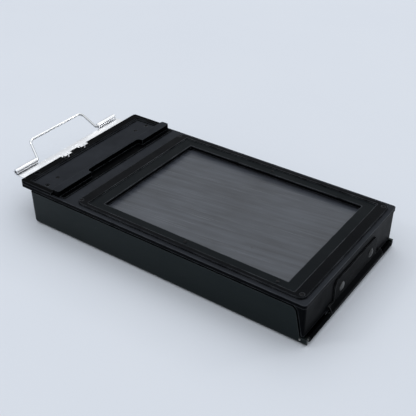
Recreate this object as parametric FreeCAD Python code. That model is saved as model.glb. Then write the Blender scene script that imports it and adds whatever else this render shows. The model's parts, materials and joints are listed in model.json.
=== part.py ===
import FreeCAD, Part
import math
import os

# Sheet film holder of the hinged-back magazine kind, for 2 1/4 x 3 1/4 inch film.
# Millimetres. X runs along the length with the pull handle at -X and the hinge at +X,
# Y runs across, +Z points out of the lens side. The origin is the middle of the flat
# back, which is the face that the holder rests on.

V = FreeCAD.Vector

# ---- film and window ----
film_length = 82.6
film_width = 57.2
film_thickness = 0.2
window_length = 82.4
window_width = 57.0
window_end_inset = 11.0

# ---- overall sizes of the front frame ----
frame_length = 131.6
frame_width = 72.3
flange_top = 17.9
flange_depth = 1.55
flange_corner = 1.2
plate_thickness = 1.3

# ---- drawn metal back shell ----
shell_inset_handle = 3.9
shell_inset_side = 0.4
shell_wall = 0.9
shell_draft_deg = 1.5
shell_corner = 2.0
shell_bottom_round = 1.6
shell_tab_reach = 1.35
seam_gap = 1.1

# ---- raised cover and rim over the light trap ----
cover_rise = 1.3
rim_width = 3.6
side_rim_width = 2.2
ledge_width = 0.7
ledge_drop = 0.45
panel_drop = 0.95
cover_rivet_sink = 0.25
cover_rivet_inset_x = 10.6
cover_rivet_inset_y = 4.6
cover_screw_inset_x = 9.8
cover_screw_inset_y = 11.2
notch_width = 4.9
notch_depth = 2.9
notch_centres_y = (-10.4, -0.4)
rim_hole_radius = 1.15
rim_hole_inset = 1.6
rim_hole_y = -28.4

# ---- locating rib ----
rib_inset = 17.0
rib_width = 6.1
rib_rise = 2.8
rib_ledge_width = 2.3
rib_ledge_drop = 2.3
rib_end_inset = 0.8
rib_corner = 0.9
rib_step_end_inset = 0.4
rib_scallop_depth = 2.4
rib_scallop_length = 33.0

# ---- window plate ----
window_plate_inset_handle = 28.5
window_plate_inset_hinge = 1.8
window_plate_side_inset = 1.7
window_plate_base = 0.25
window_ridge_rise = 0.8
window_ridge_end = 4.6
window_ridge_side = 2.0
window_plate_corner = 3.0
window_plate_chamfer = 0.25
screw_head_radius = 0.75
screw_head_clearance = 0.08
screw_shank = 0.45
screw_sink = 0.4
screw_inset_handle = 1.1
screw_inset_hinge = 1.9
screw_inset_y = 2.4
small_screw_scale = 0.85
small_screw_from_handle = 40.5
small_screw_from_hinge = 3.0

# ---- dark slide, its guides and its light trap ----
slide_thickness = 0.5
slide_top_drop = 2.1
slide_width = 61.0
slide_corner = 1.5
slide_side_clearance = 0.3
slide_face_clearance = 0.2
slide_end_clearance = 0.3
slide_end_overlap = 6.2
slide_overhang = 5.2
guide_width = 2.2
guide_overrun = 2.4
spacer_width = 1.7
gate_thickness = 0.8
gate_margin = 0.5
gate_screw_radius = 0.85
gate_screw_rise = 0.28
trap_inset = 7.0
trap_length = 16.1
trap_bar_depth = 1.6
trap_lip_depth = 3.4
trap_lip_thickness = 0.8
felt_clearance = 0.06
felt_width = 5.0
felt_spacing = 1.6
trap_spring_thickness = 0.25
trap_spring_foot = 1.2
catch_spring_inset = 35.2
catch_spring_half = 6.0
catch_spring_height = 2.2
catch_spring_drop = 0.4
catch_spring_clearance = 0.12

# ---- grip plate, barrels and bail ----
grip_thickness = 0.5
grip_gap = 0.3
grip_width = 63.0
grip_offset_y = 0.5
grip_rivet_spread = 45.6
barrel_overhang = 8.9
wire_radius = 0.62
wire_clearance = 0.06
barrel_wall = 0.55
barrel_inner_y = 19.3
barrel_length = 11.9
barrel_seam = 0.35
tongue_prong_width = 1.85
tongue_prong_gap = 0.6
tongue_thickness = 1.3
tongue_setback = 1.0
tongue_proud = 0.7
bail_foot_depth = 6.0
bail_reach = 8.9
bail_angle_deg = 137.0
bail_bar_half = 15.9
bail_bend_radius = 2.6
bail_foot_bend_radius = 0.9

# ---- hinge ----
knuckle_radius = 1.0
pin_radius = 0.5
pin_clearance = 0.05
hinge_axis_beyond_wall = 0.9
leaf_thickness = 0.6
leaf_offset_y = 2.75
leaf_half = 17.1
leaf_top = 13.8
leaf_corner = 2.2
leaf_rivet_spread = 23.7
leaf_rivet_z = 8.8
leaf_rivet_radius = 1.9
leaf_rivet_rise = 0.6
centre_knuckle_y = 3.25
centre_knuckle_length = 42.5
knuckle_gap_front = 0.4
knuckle_gap_back = 0.4
outer_knuckle_inset = 2.4
pin_end_inset = 1.9
floor_leaf_depth = 6.0
floor_leaf_rivet_inset = 3.15
end_wall_thickness = 0.8
end_wall_inset = 0.25
end_wall_foot = 3.7
end_wall_round = 1.1
ear_gap = 0.6
ear_top_length = 6.2
ear_mid_length = 3.6
ear_mid_drop = 1.35
ear_low_length = 2.9
ear_low_drop = 2.95
corner_rivet_radius = 0.4
corner_rivet_clearance = 0.05
corner_rivet_rise = 0.3
corner_rivet_inset = 1.2
corner_rivet_z = 2.3
skirt_thickness = 0.7
skirt_clearance = 0.5
skirt_depth = 5.6
skirt_end_inset = 7.2

# ---- film stack ----
sheath_count = 6
sheath_height = 1.4
sheath_gap = 0.1
sheath_margin_x = 2.7
sheath_margin_y = 2.5
sheath_sheet = 0.3
sheath_lip = 1.9
sheath_corner = 1.0
film_side_clearance = 0.3
film_lift = 0.05
stack_gate_gap = 0.3
pressure_plate_thickness = 0.8
pressure_plate_margin = 0.8
pressure_plate_corner = 2.0
guide_angle_gap = 0.3
guide_angle_arm = 5.0
guide_angle_thickness = 0.6
guide_angle_drop = 2.0
partition_thickness = 0.8
partition_gap = 1.8
spring_thickness = 0.3
spring_width = 9.0
spring_length = 64.0
spring_y = 17.0
rivet_radius = 1.0
rivet_shank = 0.6
rivet_head_rise = 0.35
rivet_flush = 0.05

# ---- places worked out from the sizes above ----
half_length = frame_length / 2
half_width = frame_width / 2
flange_bottom = flange_top - flange_depth
plate_bottom = flange_top - plate_thickness
cover_top = flange_top + cover_rise
cover_rivet_seat = cover_top - panel_drop - cover_rivet_sink
window_x1 = half_length - window_end_inset
window_x0 = window_x1 - window_length
window_centre_x = (window_x0 + window_x1) / 2
slide_top = flange_top - slide_top_drop
slide_bottom = slide_top - slide_thickness
gate_top = slide_bottom - slide_face_clearance
gate_bottom = gate_top - gate_thickness
stack_top = gate_bottom - stack_gate_gap
sheath_pitch = sheath_height + sheath_gap
stack_bottom = stack_top - sheath_count * sheath_pitch
shell_x0 = -half_length + shell_inset_handle
shell_half = half_width - shell_inset_side
shell_top = flange_bottom - seam_gap
shell_handle_top = slide_bottom - 2 * slide_face_clearance
slide_end_x = window_x1 + slide_end_overlap
slide_start_x = -half_length - slide_overhang
trap_start_x = -half_length + trap_inset
rib_start_x = -half_length + rib_inset
end_wall_x = half_length - end_wall_inset
shell_x1 = end_wall_x + shell_tab_reach
hinge_x = end_wall_x + hinge_axis_beyond_wall
hinge_z = shell_wall + knuckle_radius
floor_leaf_top = shell_wall + leaf_thickness
corner_rivet_x = end_wall_x - corner_rivet_inset
barrel_radius = wire_radius + wire_clearance + barrel_wall
barrel_axis_x = -half_length - barrel_overhang
grip_bottom = slide_top
grip_top = grip_bottom + grip_thickness
barrel_axis_z = grip_bottom + barrel_radius
skirt_outer = (shell_half - shell_wall - skirt_clearance
               - math.tan(math.radians(shell_draft_deg)) * skirt_depth)
skirt_inner = skirt_outer - skirt_thickness
skirt_start_x = shell_x0 + shell_corner + skirt_clearance
ridge_top = flange_top + window_ridge_rise
border_top = flange_top + window_plate_base
window_plate_x0 = -half_length + window_plate_inset_handle
window_plate_x1 = half_length - window_plate_inset_hinge
window_plate_half = half_width - window_plate_side_inset
window_border_half = window_plate_half - window_ridge_side
guide_inner_y = slide_width / 2 + slide_side_clearance
guide_outer_y = guide_inner_y + guide_width
# a length that carries every cutting shape clear of the piece it cuts
clear = 1.0


def box(x0, x1, y0, y1, z0, z1):
    """A block between two corners."""
    return Part.makeBox(x1 - x0, y1 - y0, z1 - z0, V(x0, y0, z0))


def rounded_outline(x0, x1, y0, y1, z, r0, r1):
    """A closed outline at height z, corners of radius r0 at the -X end and r1 at the +X end."""
    s = math.sqrt(0.5)
    edges = []

    def line(a, b):
        if a.distanceToPoint(b) > 1e-7:
            edges.append(Part.LineSegment(a, b).toShape())

    def corner(cx, cy, r, start_deg):
        def at(deg):
            t = math.radians(deg)
            return V(cx + r * math.cos(t), cy + r * math.sin(t), z)
        if r > 0:
            edges.append(Part.Arc(at(start_deg), at(start_deg + 45), at(start_deg + 90)).toShape())

    line(V(x0 + r0, y0, z), V(x1 - r1, y0, z))
    corner(x1 - r1, y0 + r1, r1, 270)
    line(V(x1, y0 + r1, z), V(x1, y1 - r1, z))
    corner(x1 - r1, y1 - r1, r1, 0)
    line(V(x1 - r1, y1, z), V(x0 + r0, y1, z))
    corner(x0 + r0, y1 - r0, r0, 90)
    line(V(x0, y1 - r0, z), V(x0, y0 + r0, z))
    corner(x0 + r0, y0 + r0, r0, 180)
    return Part.Wire(edges)


def rounded_block(x0, x1, y0, y1, z0, z1, r0, r1=None):
    """A block with rounded upright corners."""
    r1 = r0 if r1 is None else r1
    face = Part.Face(rounded_outline(x0, x1, y0, y1, z0, r0, r1))
    return face.extrude(V(0, 0, z1 - z0))


def drafted_block(x0, x1, half, z0, z1, taper_deg, r0):
    """A block whose two long sides lean in downwards by the draft angle, rounded at the -X corners."""
    lean = math.tan(math.radians(taper_deg)) * (z1 - z0)
    top = rounded_outline(x0, x1, -half, half, z1, r0, 0)
    foot = rounded_outline(x0, x1, -half + lean, half - lean, z0, r0, 0)
    return Part.makeLoft([foot, top], True, True)


def rod_y(x, z, radius, y0, y1):
    """A round bar along Y."""
    return Part.makeCylinder(radius, y1 - y0, V(x, y0, z), V(0, 1, 0))


def rod_z(x, y, radius, z0, z1):
    """A round bar along Z."""
    return Part.makeCylinder(radius, z1 - z0, V(x, y, z0), V(0, 0, 1))


def fuse(shapes):
    """Join shapes into one solid."""
    whole = shapes[0].multiFuse(shapes[1:])
    return whole.removeSplitter()


def group(shapes):
    """Keep alike solids together in one node."""
    return Part.makeCompound(shapes)


def profile_along_y(points, y0, y1):
    """A plate whose XZ outline is a closed run of points, drawn out along Y."""
    ring = [V(x, y0, z) for x, z in points]
    face = Part.Face(Part.makePolygon(ring + [ring[0]]))
    return face.extrude(V(0, y1 - y0, 0))


def rivet_z(x, y, z_seat, radius, rise, depth):
    """A low domed rivet with its shank going down from the seat."""
    head_radius = (radius ** 2 + rise ** 2) / (2 * rise)
    ball = Part.makeSphere(head_radius, V(x, y, z_seat + rise - head_radius))
    cap = ball.common(rod_z(x, y, radius, z_seat, z_seat + 2 * rise))
    return cap.fuse(rod_z(x, y, rivet_shank, z_seat - depth, z_seat)).removeSplitter()


# ---------------------------------------------------------------- back shell side
def shell_seam_cut(extra):
    """The room above the curved end of the shell's side walls, where the end wall's ears sit."""
    shift = V(-extra, 0, -extra)
    foot = V(end_wall_x - end_wall_thickness, 0, end_wall_foot) + shift
    low = V(half_length - ear_low_length, 0, flange_bottom - ear_low_drop) + shift
    mid = V(half_length - ear_mid_length, 0, flange_bottom - ear_mid_drop) + shift
    high = V(half_length - ear_top_length, 0, flange_bottom) + shift
    far_x = shell_x1 + clear
    far_z = flange_top + clear
    above = V(high.x, 0, far_z)
    beyond = V(far_x, 0, far_z)
    under = V(far_x, 0, foot.z)
    edges = [Part.LineSegment(foot, low).toShape(), Part.Arc(low, mid, high).toShape(),
             Part.LineSegment(high, above).toShape(), Part.LineSegment(above, beyond).toShape(),
             Part.LineSegment(beyond, under).toShape(), Part.LineSegment(under, foot).toShape()]
    face = Part.Face(Part.Wire(edges))
    face.translate(V(0, -half_width - clear, 0))
    return face.extrude(V(0, frame_width + 2 * clear, 0))


def make_back_shell():
    """Drawn tray: floor, two long walls and the wall at the handle end, open at the hinge end."""
    outer = drafted_block(shell_x0, shell_x1, shell_half, 0, shell_top, shell_draft_deg, shell_corner)
    low = [e for e in outer.Edges if e.BoundBox.ZMax < 0.01 and e.BoundBox.XMin < shell_x1 - 0.01]
    outer = outer.makeFillet(shell_bottom_round, low)
    inner = drafted_block(shell_x0 + shell_wall, shell_x1 + clear, shell_half - shell_wall,
                          0, shell_top, shell_draft_deg, shell_corner - shell_wall)
    inner = inner.common(box(-half_length, shell_x1 + 2 * clear, -half_width, half_width,
                             shell_wall, shell_top + clear))
    tray = outer.cut(inner)
    tray = tray.cut(shell_seam_cut(ear_gap))
    slide_way = box(shell_x0 - clear, shell_x0 + shell_corner, -half_width, half_width,
                    shell_handle_top, shell_top + clear)
    tray = tray.cut(slide_way)
    # the floor stops short of the end wall so that the hinge leaf can pass, and only the
    # feet of the two long walls run on past the hinge line
    tab_y = wall_outer_y(0) - shell_wall
    tray = tray.cut(box(end_wall_x - end_wall_thickness - ear_gap, shell_x1 + clear,
                        -tab_y, tab_y, -clear, leaf_top))
    for side in (-1, 1):
        tray = tray.cut(corner_rivet_hole(side))
    for x, y in leaf_floor_rivets() + spring_floor_rivets():
        tray = tray.cut(rod_z(x, y, rivet_shank, -clear, shell_wall + clear))
    return tray.removeSplitter()


def wall_outer_y(z):
    """How far out the shell's long wall stands at height z."""
    return shell_half - math.tan(math.radians(shell_draft_deg)) * (shell_top - z)


def leaf_floor_rivets():
    """The four rivets that hold the hinge leaf to the floor."""
    return [(end_wall_x - floor_leaf_rivet_inset, y) for y in (-28, -10, 12, 28)]


def spring_floor_rivets():
    """The two rivets that hold the pressure springs to the floor."""
    return [(window_centre_x, y) for y in (-spring_y, spring_y)]


def corner_rivet_hole(side):
    """Hole in the foot of the shell's long wall, beside the end of the hinge pin."""
    y0, y1 = sorted((side * (wall_outer_y(0) - 2 * shell_wall), side * half_width))
    return rod_y(corner_rivet_x, corner_rivet_z, corner_rivet_radius + corner_rivet_clearance, y0, y1)


def make_corner_rivets():
    """One small bright rivet on each side at the hinge corner."""
    rivets = []
    outer = wall_outer_y(corner_rivet_z)
    for side in (-1, 1):
        y0, y1 = sorted((side * (outer - shell_wall), side * (outer + corner_rivet_rise)))
        rivets.append(rod_y(corner_rivet_x, corner_rivet_z, corner_rivet_radius, y0, y1))
    return group(rivets)


def centre_knuckle_ends():
    """Where the centre knuckle begins and ends across the width."""
    half = centre_knuckle_length / 2
    return centre_knuckle_y - half, centre_knuckle_y + half


def make_back_hinge_leaf():
    """Flat leaf on the shell's floor whose outer edge is rolled into the two outer knuckles."""
    y_reach = shell_half - outer_knuckle_inset
    plate = box(end_wall_x - floor_leaf_depth, hinge_x, -y_reach, y_reach, shell_wall, floor_leaf_top)
    knuckle0, knuckle1 = centre_knuckle_ends()
    gap0 = knuckle0 - knuckle_gap_front
    gap1 = knuckle1 + knuckle_gap_back
    plate = plate.cut(box(hinge_x - knuckle_radius - 2 * knuckle_gap_back, hinge_x + clear, gap0, gap1,
                          0, floor_leaf_top + clear))
    plate = plate.fuse(rod_y(hinge_x, hinge_z, knuckle_radius, -y_reach, gap0))
    plate = plate.fuse(rod_y(hinge_x, hinge_z, knuckle_radius, gap1, y_reach))
    plate = plate.cut(rod_y(hinge_x, hinge_z, pin_radius + pin_clearance, -half_width, half_width))
    for x, y in leaf_floor_rivets():
        plate = plate.cut(rod_z(x, y, rivet_shank, 0, floor_leaf_top + clear))
    return plate.removeSplitter()


def make_back_hinge_rivets():
    """Four rivets through the leaf and the floor, flush on the back."""
    return group([rivet_z(x, y, floor_leaf_top, rivet_radius, rivet_head_rise,
                          floor_leaf_top - rivet_flush) for x, y in leaf_floor_rivets()])


def make_hinge_pin():
    """One wire pin through all three knuckles."""
    reach = shell_half - pin_end_inset
    return rod_y(hinge_x, hinge_z, pin_radius, -reach, reach)


def make_pressure_spring(y_mid):
    """Bowed leaf spring: its middle lies on the floor and its two ends push the plate."""
    end_z = stack_bottom - pressure_plate_thickness - spring_thickness
    x0 = window_centre_x - spring_length / 2
    x1 = window_centre_x + spring_length / 2
    low = Part.Arc(V(x0, 0, end_z), V(window_centre_x, 0, shell_wall), V(x1, 0, end_z))
    up = V(0, 0, spring_thickness)
    high = Part.Arc(V(x1, 0, end_z) + up, V(window_centre_x, 0, shell_wall) + up, V(x0, 0, end_z) + up)
    right = Part.LineSegment(V(x1, 0, end_z), V(x1, 0, end_z) + up)
    left = Part.LineSegment(V(x0, 0, end_z) + up, V(x0, 0, end_z))
    face = Part.Face(Part.Wire([low.toShape(), right.toShape(), high.toShape(), left.toShape()]))
    face.translate(V(0, y_mid - spring_width / 2, 0))
    spring = face.extrude(V(0, spring_width, 0))
    return spring.cut(rod_z(window_centre_x, y_mid, rivet_shank, 0, shell_wall + clear))


def make_spring_rivets():
    """A rivet through the middle of each pressure spring."""
    seat = shell_wall + spring_thickness
    return group([rivet_z(x, y, seat + rivet_flush, rivet_radius, rivet_head_rise, seat)
                  for x, y in spring_floor_rivets()])


def make_sheath_guides():
    """Four folded angles that stand on the floor and keep the film stack square."""
    x0 = window_centre_x - film_length / 2 - sheath_margin_x - guide_angle_gap
    x1 = window_centre_x + film_length / 2 + sheath_margin_x + guide_angle_gap
    y1 = film_width / 2 + sheath_margin_y + guide_angle_gap
    top = stack_top - guide_angle_drop
    guides = []
    for x, sx in ((x0, -1), (x1, 1)):
        for sy in (-1, 1):
            xa, xb = sorted((x, x - sx * guide_angle_arm))
            ya, yb = sorted((sy * y1, sy * (y1 + guide_angle_thickness)))
            long_arm = box(xa, xb, ya, yb, shell_wall, top)
            xc, xd = sorted((x, x + sx * guide_angle_thickness))
            yc, yd = sorted((sy * (y1 - guide_angle_arm), sy * (y1 + guide_angle_thickness)))
            short_arm = box(xc, xd, yc, yd, shell_wall, top)
            guides.append(fuse([long_arm, short_arm]))
    return group(guides)


# ---------------------------------------------------------------- front frame side
def tongue_notches():
    """Two notches through the rim's outer edge that the grip plate's tongues drop into."""
    return [box(-half_length - clear, -half_length + notch_depth, y - notch_width / 2,
                y + notch_width / 2, flange_bottom - clear, cover_top + clear) for y in notch_centres_y]


def make_front_frame():
    """Pressed frame: flange, face plate with the window, side skirts, end wall and its ears."""
    flange = rounded_block(-half_length, half_length, -half_width, half_width,
                           flange_bottom, flange_top, flange_corner)
    relief = box(shell_x0, end_wall_x - end_wall_thickness, -skirt_outer, skirt_outer,
                 flange_bottom - clear, plate_bottom)
    body = flange.cut(relief)
    skirts = []
    for side in (-1, 1):
        y0, y1 = sorted((side * skirt_inner, side * skirt_outer))
        skirts.append(box(skirt_start_x, half_length - skirt_end_inset, y0, y1,
                          plate_bottom - skirt_depth, plate_bottom + plate_thickness / 2))
    body = fuse([body, make_end_wall()] + skirts)
    window = box(window_x0, window_x1, -window_width / 2, window_width / 2,
                 flange_bottom - clear, flange_top + clear)
    body = body.cut(window)
    for notch in tongue_notches():
        body = body.cut(notch)
    for x, y in corner_screw_places() + small_screw_places():
        body = body.cut(rod_z(x, y, screw_shank, flange_bottom, flange_top + clear))
    for x, y in cover_rivet_places():
        body = body.cut(rod_z(x, y, rivet_shank, flange_bottom, flange_top + clear))
    for y in leaf_rivet_ys():
        body = body.cut(leaf_rivet_hole(y))
    return body.removeSplitter()


def make_end_wall():
    """Wall at the hinge end; it wraps round both corners to meet the shell on a curved seam."""
    top = flange_bottom + flange_depth / 2
    start_x = half_length - 2 * ear_top_length
    outer = drafted_block(start_x, end_wall_x, shell_half, 0, top, shell_draft_deg, 0)
    inner = drafted_block(start_x - clear, end_wall_x - end_wall_thickness, shell_half - shell_wall,
                          0, top, shell_draft_deg, 0)
    ring = outer.cut(inner).common(shell_seam_cut(0))
    ring = ring.cut(box(start_x, half_length, -half_width, half_width, -clear, end_wall_foot))
    upright = [e for e in ring.Edges if e.BoundBox.XMin > end_wall_x - 0.05
               and e.BoundBox.ZLength > leaf_top / 2
               and abs(e.BoundBox.Center.y) > shell_half - 2 * shell_wall]
    return ring.makeFillet(end_wall_round, upright)


def make_handle_cover():
    """Raised cover over the light trap: a rim on three sides that steps down twice to a panel."""
    cover = rounded_block(-half_length, rib_start_x, -half_width, half_width,
                          flange_top, cover_top, flange_corner, 0)
    for inset, drop in ((0, ledge_drop), (ledge_width, panel_drop)):
        x0 = -half_length + rim_width + inset
        y_reach = half_width - side_rim_width - inset
        cover = cover.cut(box(x0, rib_start_x + clear, -y_reach, y_reach,
                              cover_top - drop, cover_top + clear))
    for notch in tongue_notches():
        cover = cover.cut(notch)
    cover = cover.cut(rod_z(-half_length + rim_hole_inset, rim_hole_y, rim_hole_radius,
                            cover_top - panel_drop, cover_top + clear))
    for x, y in cover_rivet_places():
        cover = cover.cut(rod_z(x, y, rivet_shank, flange_top - clear, cover_top + clear))
        cover = cover.cut(rod_z(x, y, rivet_radius + screw_head_clearance, cover_rivet_seat,
                                cover_top + clear))
    for x, y in cover_screw_places():
        cover = cover.cut(rod_z(x, y, screw_head_radius + screw_head_clearance, cover_rivet_seat,
                                cover_top + clear))
    return cover.removeSplitter()


def cover_rivet_places():
    """The two rivets near the corners of the cover's panel."""
    return [(-half_length + cover_rivet_inset_x, side * (half_width - cover_rivet_inset_y))
            for side in (-1, 1)]


def cover_screw_places():
    """The two small screws further in on the panel."""
    return [(-half_length + cover_screw_inset_x, side * (half_width - cover_screw_inset_y))
            for side in (-1, 1)]


def make_cover_rivets():
    """Ringed rivets sunk in the cover."""
    return group([rivet_z(x, y, cover_rivet_seat, rivet_radius, cover_rivet_sink,
                          cover_rivet_seat - plate_bottom) for x, y in cover_rivet_places()])


def slotted_screw(x, y, z_top, radius, height, slot_deg):
    """A flat screw head with a driver slot across it, a third as wide as the head and half as deep."""
    head = rod_z(x, y, radius, z_top - height, z_top)
    slot = box(-radius, radius, -radius / 6, radius / 6, z_top - height / 2, z_top + clear)
    slot.rotate(V(0, 0, 0), V(0, 0, 1), slot_deg)
    slot.translate(V(x, y, 0))
    return head.cut(slot)


def make_cover_screws():
    """Two sunk screws in the cover's panel."""
    top = cover_top - panel_drop - screw_head_clearance
    return group([slotted_screw(x, y, top, screw_head_radius, top - cover_rivet_seat, 35 * n)
                  for n, (x, y) in enumerate(cover_screw_places())])


def make_locating_rib():
    """Stepped rib across the holder; its window side is scooped back over the middle."""
    reach = half_width - rib_end_inset
    end_x = rib_start_x + rib_width
    face_x = end_x - rib_ledge_width
    top = flange_top + rib_rise
    ledge = top - rib_ledge_drop
    rib = box(rib_start_x, face_x, -reach, reach, flange_top, top)
    upright = [e for e in rib.Edges if e.BoundBox.ZLength > rib_rise - 0.01]
    rib = rib.makeFillet(rib_corner, upright)
    scoop = rounded_block(face_x - rib_scallop_depth, end_x + clear, -rib_scallop_length / 2,
                          rib_scallop_length / 2, ledge, top + clear, rib_scallop_depth * 0.7, 0)
    rib = rib.cut(scoop)
    step_reach = reach - rib_step_end_inset
    step = box(rib_start_x + rib_corner, end_x, -step_reach, step_reach, flange_top, ledge)
    return fuse([rib, step])


def corner_screw_places():
    """The four screws in the corners of the window plate's ridge."""
    x0 = window_plate_x0 + screw_inset_handle
    x1 = window_plate_x1 - screw_inset_hinge
    y = window_plate_half - screw_inset_y
    return [(x0, -y), (x0, y), (x1, -y), (x1, y)]


def small_screw_places():
    """The three small screws in the sunk border beside the window."""
    y = (window_border_half + window_width / 2) / 2
    mid_x = window_x0 + small_screw_from_handle
    return [(mid_x, -y), (window_x1 - small_screw_from_hinge, -y), (mid_x, y)]


def make_window_plate():
    """Screwed-on plate: a raised ridge all round with a sunk border that runs to the window."""
    plate = rounded_block(window_plate_x0, window_plate_x1, -window_plate_half, window_plate_half,
                          flange_top, ridge_top, window_plate_corner)
    plate = plate.cut(box(window_plate_x0 + window_ridge_end, window_plate_x1 - window_ridge_end,
                          -window_border_half, window_border_half, border_top, ridge_top + clear))
    plate = plate.cut(box(window_x0, window_x1, -window_width / 2, window_width / 2,
                          flange_top - clear, ridge_top + clear))
    top_edges = [e for e in plate.Edges if e.BoundBox.ZMin > ridge_top - 0.01
                 and (abs(e.BoundBox.YMin) > window_plate_half - 0.01
                      or e.BoundBox.XMin > window_plate_x1 - 0.01)]
    plate = plate.makeChamfer(window_plate_chamfer, top_edges)
    for x, y in corner_screw_places():
        plate = plate.cut(rod_z(x, y, screw_head_radius + screw_head_clearance, ridge_top - screw_sink,
                                ridge_top + clear))
    for x, y in corner_screw_places() + small_screw_places():
        plate = plate.cut(rod_z(x, y, screw_shank, flange_top - clear, ridge_top + clear))
    return plate.removeSplitter()


def make_plate_screws():
    """Sunk corner screws and shallow screws beside the window."""
    small_radius = screw_head_radius * small_screw_scale
    screws = []
    for n, (x, y) in enumerate(corner_screw_places()):
        seat = ridge_top - screw_sink
        top = ridge_top - screw_head_clearance
        head = slotted_screw(x, y, top, screw_head_radius, top - seat, 25 + 40 * n)
        screws.append(head.fuse(rod_z(x, y, screw_shank, plate_bottom, seat)).removeSplitter())
    for n, (x, y) in enumerate(small_screw_places()):
        head = slotted_screw(x, y, border_top + screw_sink / 2, small_radius, screw_sink / 2, 35 + 50 * n)
        screws.append(head.fuse(rod_z(x, y, screw_shank, plate_bottom, border_top)).removeSplitter())
    return group(screws)


def leaf_rivet_ys():
    """Where the two rivets of the frame's hinge leaf sit across the width."""
    return [leaf_offset_y + side * leaf_rivet_spread / 2 for side in (-1, 1)]


def leaf_rivet_hole(y):
    """Hole along X for the shank of one leaf rivet."""
    start = V(end_wall_x - end_wall_thickness - clear, y, leaf_rivet_z)
    reach = end_wall_thickness + leaf_thickness + 2 * clear
    return Part.makeCylinder(rivet_shank, reach, start, V(1, 0, 0))


def make_frame_hinge_leaf():
    """Leaf on the end wall, bent out at its foot and rolled into the centre knuckle."""
    outer_x = end_wall_x + leaf_thickness
    foot_z = end_wall_foot + knuckle_radius
    face = box(end_wall_x, outer_x, leaf_offset_y - leaf_half, leaf_offset_y + leaf_half, foot_z, leaf_top)
    top_edges = [e for e in face.Edges if e.BoundBox.XLength > leaf_thickness - 0.01
                 and e.BoundBox.ZMin > leaf_top - 0.01]
    face = face.makeFillet(leaf_corner, top_edges)
    knuckle0, knuckle1 = centre_knuckle_ends()
    roll_x = hinge_x + knuckle_radius
    bend = profile_along_y([(end_wall_x, foot_z + leaf_thickness), (outer_x, foot_z + leaf_thickness),
                            (roll_x, hinge_z + 2 * leaf_thickness), (roll_x, hinge_z),
                            (roll_x - leaf_thickness, hinge_z),
                            (roll_x - leaf_thickness, hinge_z + knuckle_radius),
                            (end_wall_x, foot_z - leaf_thickness)],
                           knuckle0, knuckle1)
    leaf = fuse([face, bend, rod_y(hinge_x, hinge_z, knuckle_radius, knuckle0, knuckle1)])
    leaf = leaf.cut(rod_y(hinge_x, hinge_z, pin_radius + pin_clearance, -half_width, half_width))
    for y in leaf_rivet_ys():
        leaf = leaf.cut(leaf_rivet_hole(y))
    return leaf.removeSplitter()


def make_frame_hinge_rivets():
    """Two broad bright rivets through the leaf and the end wall."""
    rivets = []
    for y in leaf_rivet_ys():
        rivet = rivet_z(0, 0, 0, leaf_rivet_radius, leaf_rivet_rise, leaf_thickness + end_wall_thickness)
        rivet.rotate(V(0, 0, 0), V(0, 1, 0), 90)
        rivet.translate(V(end_wall_x + leaf_thickness, y, leaf_rivet_z))
        rivets.append(rivet)
    return group(rivets)


def make_slide_guide(side):
    """Brass rail beside the dark slide, between the face plate and the film gate."""
    y0, y1 = sorted((side * guide_inner_y, side * guide_outer_y))
    rail = box(trap_start_x, slide_end_x + guide_overrun, y0, y1, gate_top, plate_bottom)
    for x in gate_screw_xs():
        rail = rail.cut(rod_z(x, side * gate_screw_y(), rivet_shank, gate_top - clear, plate_bottom + clear))
    return rail


def make_slide_end_spacer():
    """Cross bar that stops the dark slide at the hinge end."""
    reach = slide_width / 2
    x0 = slide_end_x + slide_end_clearance
    return box(x0, x0 + spacer_width, -reach, reach, gate_top, plate_bottom)


def gate_screw_y():
    """The gate screws run down the middle of each rail."""
    return (guide_inner_y + guide_outer_y) / 2


def gate_screw_xs():
    """Places of the gate screws along each rail."""
    return [trap_start_x + trap_length + felt_width, window_centre_x, slide_end_x - felt_width]


def make_film_gate():
    """Flat gate that the film lies against, with the picture opening."""
    gate = box(trap_start_x + trap_length, slide_end_x + guide_overrun, -guide_outer_y, guide_outer_y,
               gate_bottom, gate_top)
    gate = gate.cut(box(window_x0 + gate_margin, window_x1 - gate_margin, -window_width / 2 + gate_margin,
                        window_width / 2 - gate_margin, gate_bottom - clear, gate_top + clear))
    for x in gate_screw_xs():
        for side in (-1, 1):
            gate = gate.cut(rod_z(x, side * gate_screw_y(), rivet_shank,
                                  gate_bottom - clear, gate_top + clear))
    return gate


def make_gate_screws():
    """Screws that clamp the gate and the rails to the face plate."""
    screws = []
    for x in gate_screw_xs():
        for side in (-1, 1):
            y = side * gate_screw_y()
            head = rod_z(x, y, gate_screw_radius, gate_bottom - gate_screw_rise, gate_bottom)
            screws.append(head.fuse(rod_z(x, y, screw_shank, gate_bottom, plate_bottom)).removeSplitter())
    return group(screws)


def make_chamber_partition():
    """Folded wall between the film chamber and the light trap chamber."""
    x1 = window_centre_x - film_length / 2 - sheath_margin_x - partition_gap
    reach = film_width / 2
    return box(x1 - partition_thickness, x1, -reach, reach,
               stack_bottom + pressure_plate_thickness, gate_bottom)


def make_trap_bar():
    """Lower half of the light trap with a lip that nests inside the shell's handle end."""
    bar = box(trap_start_x, trap_start_x + trap_length, -guide_outer_y, guide_outer_y,
              gate_top - trap_bar_depth, gate_top)
    lip = box(trap_start_x, trap_start_x + trap_lip_thickness, -guide_outer_y, guide_outer_y,
              gate_top - trap_bar_depth - trap_lip_depth, gate_top)
    return fuse([bar, lip])


def felt_starts():
    """Where each pair of felt strips begins."""
    return [trap_start_x + felt_spacing + n * (felt_width + felt_spacing) for n in range(2)]


def make_felts(z0, z1):
    """Two felt strips across the dark slide."""
    reach = slide_width / 2
    return group([box(x, x + felt_width, -reach, reach, z0, z1) for x in felt_starts()])


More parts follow.
